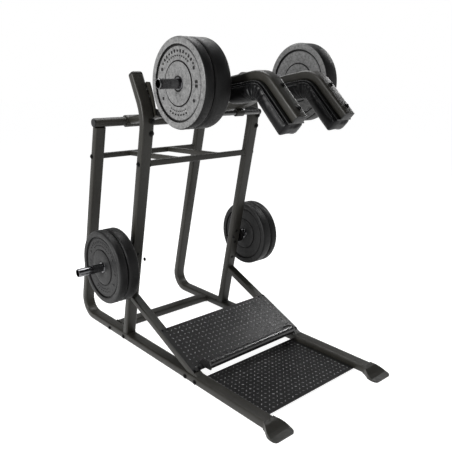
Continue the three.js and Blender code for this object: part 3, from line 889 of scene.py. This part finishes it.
# Plug rings: (height along the tube's axis, growth over the tube's half size).
PLUG_CORNER = 0.011
PLUG_PROFILE = ((-0.004, -0.004), (0.0002, -0.0035), (0.0004, 0.0), (0.0028, 0.0), (0.0042, -0.003))
# Dome rings: (height over the upright's end, share of the tube's size).
DOME_PROFILE = ((0.0035, 0.985), (0.009, 0.95), (0.0145, 0.85), (0.0175, 0.68), (0.019, 0.4))
# Bush rings: (height off the rack's face, radius).
BUSH_PROFILE = ((0.0, 0.0088), (0.0018, 0.0088), (0.0018, 0.0118), (0.0, 0.0122))


def plugs():
    """Moulded plugs in the open ends of the lever tubes, beyond the pads."""
    end = Vector((0, *LEVER_POINTS[3]))
    along = (end - Vector((0, *LEVER_POINTS[2]))).normalized()
    across = Vector((1, 0, 0))
    up = along.cross(across).normalized()
    b = Builder()
    for _, side in SIDES:
        at = end + across * (side * ARM_X)
        rings = []
        for height, grow in PLUG_PROFILE:
            half_u, half_v = TUBE_W / 2 + grow, TUBE_D / 2 + grow
            rings.append(rounded_loop(at + along * height, across, up, half_u, half_v, PLUG_CORNER)[:-1])
        b.rings(rings)
    b.make("lever_plugs", PLASTIC, "lever")


def upright_domes():
    """Low moulded domes over the uprights' tops."""
    b = Builder()
    lean = Vector((0, UPRIGHT_TOP[0] - FRONT_BEND[0], UPRIGHT_TOP[1] - FRONT_BEND[1])).normalized()
    across = Vector((1, 0, 0))
    ahead = lean.cross(across)
    for _, side in SIDES:
        at = Vector((side * FRAME_X, *UPRIGHT_TOP))
        rings = []
        for height, share in DOME_PROFILE:
            half_u, half_v, corner = TUBE_W / 2 * share, TUBE_D / 2 * share, TUBE_CORNER * share
            rings.append(rounded_loop(at + lean * height, across, ahead, half_u, half_v, corner)[:-1])
        b.rings(rings)
    b.make("upright_domes", FRAME_PAINT, "frame")


def bush(b, at, side, sides=24):
    """Round rim that stands off a rack's inner face."""
    turns = [2 * math.pi * i / sides for i in range(sides)]
    rings = []
    for height, radius in BUSH_PROFILE:
        foot = at - Vector((side * height, 0, 0))
        rings.append([foot + Vector((0, math.cos(t), math.sin(t))) * radius for t in turns])
    b.hoop(rings)


def catch_holes():
    """Black bushes in the mouths of the catch holes, on the racks' inner faces."""
    b = Builder()
    for _, side in SIDES:
        for k in range(RACK_HOLES):
            a = math.radians(RACK_FIRST + RACK_STEP * k)
            y, z = PIVOT[0] - RACK_RADIUS * math.cos(a), PIVOT[1] + RACK_RADIUS * math.sin(a)
            bush(b, Vector((side * RACK_IN, y, z)), side)
    b.make("catch_bushes", BOLT, "frame")


# Weld beads: radius at the tubes and round the storage posts, how much longer than the tube's
# section the leaning uprights' foot is, the cross tubes' corner, and how far in from their ends.
TUBE_BEAD, POST_BEAD = 0.0026, 0.003
FOOT_SPREAD = 0.0006
CROSS_CORNER = 0.006
BEAD_SINK = 0.0002


def bead_round(b, at, u, v, half_u, half_v, corner):
    """Weld bead round a rounded rectangle."""
    path = subdivided(rounded_loop(at, u, v, half_u, half_v, corner), 0.004)
    b.pipe(path, TUBE_BEAD, 6, 0.16)


def welds():
    """Beads at the uprights' feet, at the ends of the cross tubes and round the storage posts."""
    b = Builder()
    across, ahead, up = Vector((1, 0, 0)), Vector((0, 1, 0)), Vector((0, 0, 1))
    for label, side in SIDES:
        foot = (side * FRAME_X, FRONT_FOOT[0], RUNNER_TOP)
        bead_round(b, foot, across, ahead, TUBE_W / 2, TUBE_D / 2 + FOOT_SPREAD, TUBE_CORNER)
        for node in ("upper_crossbar_front", "upper_crossbar_rear", "base_cross_tube"):
            low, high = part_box(node)
            at = (side * (high.x - BEAD_SINK), (low.y + high.y) / 2, (low.z + high.z) / 2)
            bead_round(b, at, ahead, up, (high.y - low.y) / 2, (high.z - low.z) / 2, CROSS_CORNER)
        low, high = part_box("storage_post_" + label)
        x = (high.x if side < 0 else low.x) + side * FLANGE_T
        turns = [2 * math.pi * k / 40 for k in range(41)]
        ring = [Vector((x, STORE[0] + POST_R * math.cos(t), STORE[1] + POST_R * math.sin(t))) for t in turns]
        b.pipe(ring, POST_BEAD, 6, 0.12)
    b.make("frame_welds", FRAME_PAINT, "frame", 60.0)


frame_bolts()
lever_bolts()
plugs()
upright_domes()
catch_holes()
welds()


# ---------------------------------------------------------------- floor and light
def make_floor():
    """A pale floor that glows a little, so that it stays white under the machine."""
    n = Nodes("floor", 0.9)
    n.shader.inputs["Specular IOR Level"].default_value = 0.0
    n.shader.inputs["Emission Color"].default_value = (1.0, 1.0, 1.0, 1.0)
    n.shader.inputs["Emission Strength"].default_value = 0.94
    n.finish(n.ramp(n.noise(2.0), ((0.2, (0.38, 0.38, 0.378)), (0.8, (0.42, 0.42, 0.418)))))
    mesh = bpy.data.meshes.new("floor")
    size = 40.0
    corners = [(-size, -size, 0), (size, -size, 0), (size, size, 0), (-size, size, 0)]
    mesh.from_pydata(corners, [], [(0, 1, 2, 3)])
    mesh.materials.append(n.material)
    floor = bpy.data.objects.new("floor", mesh)
    floor.location.z = -0.0005
    bpy.context.scene.collection.objects.link(floor)


def area_light(name, location, target, size, power):
    """A white rectangular light that looks at a point."""
    data = bpy.data.lights.new(name, "AREA")
    data.shape = "RECTANGLE"
    data.size, data.size_y = size
    data.energy = power
    light = bpy.data.objects.new(name, data)
    light.location = location
    light.rotation_mode = "QUATERNION"
    light.rotation_quaternion = (Vector(target) - Vector(location)).to_track_quat("-Z", "Y")
    bpy.context.scene.collection.objects.link(light)


def studio_sky():
    """White round the horizon, dark overhead, so that upper faces keep their depth."""
    world = bpy.data.worlds.new("studio")
    world.use_nodes = True
    tree = world.node_tree
    background = tree.nodes["Background"]
    coords = tree.nodes.new("ShaderNodeTexCoord")
    split = tree.nodes.new("ShaderNodeSeparateXYZ")
    ramp = tree.nodes.new("ShaderNodeValToRGB")
    tree.links.new(coords.outputs["Generated"], split.inputs["Vector"])
    tree.links.new(split.outputs["Z"], ramp.inputs["Fac"])
    tree.links.new(ramp.outputs["Color"], background.inputs["Color"])
    white_until, dark_from = math.sin(math.radians(10)), math.sin(math.radians(24))
    near, far = ramp.color_ramp.elements
    near.position, far.position = white_until, dark_from
    near.color = (1.0, 1.0, 1.0, 1.0)
    far.color = (0.06, 0.06, 0.065, 1.0)
    background.inputs["Strength"].default_value = 1.0
    bpy.context.scene.world = world


def lighting():
    """The sky, a key light from the left, a soft one overhead and a weak one from the right."""
    studio_sky()
    area_light("key", (-4.2, -0.4, 2.6), (0, 0, 1.1), (1.6, 2.2), 260)
    area_light("top", (0.6, 1.4, 4.4), (0, 0, 0.6), (2.6, 2.6), 150)
    area_light("strip", (2.5, 0.0, 2.6), (0.3, -0.2, 0.1), (0.7, 0.5), 26)
    bpy.context.scene.view_settings.view_transform = "Standard"


make_floor()
lighting()
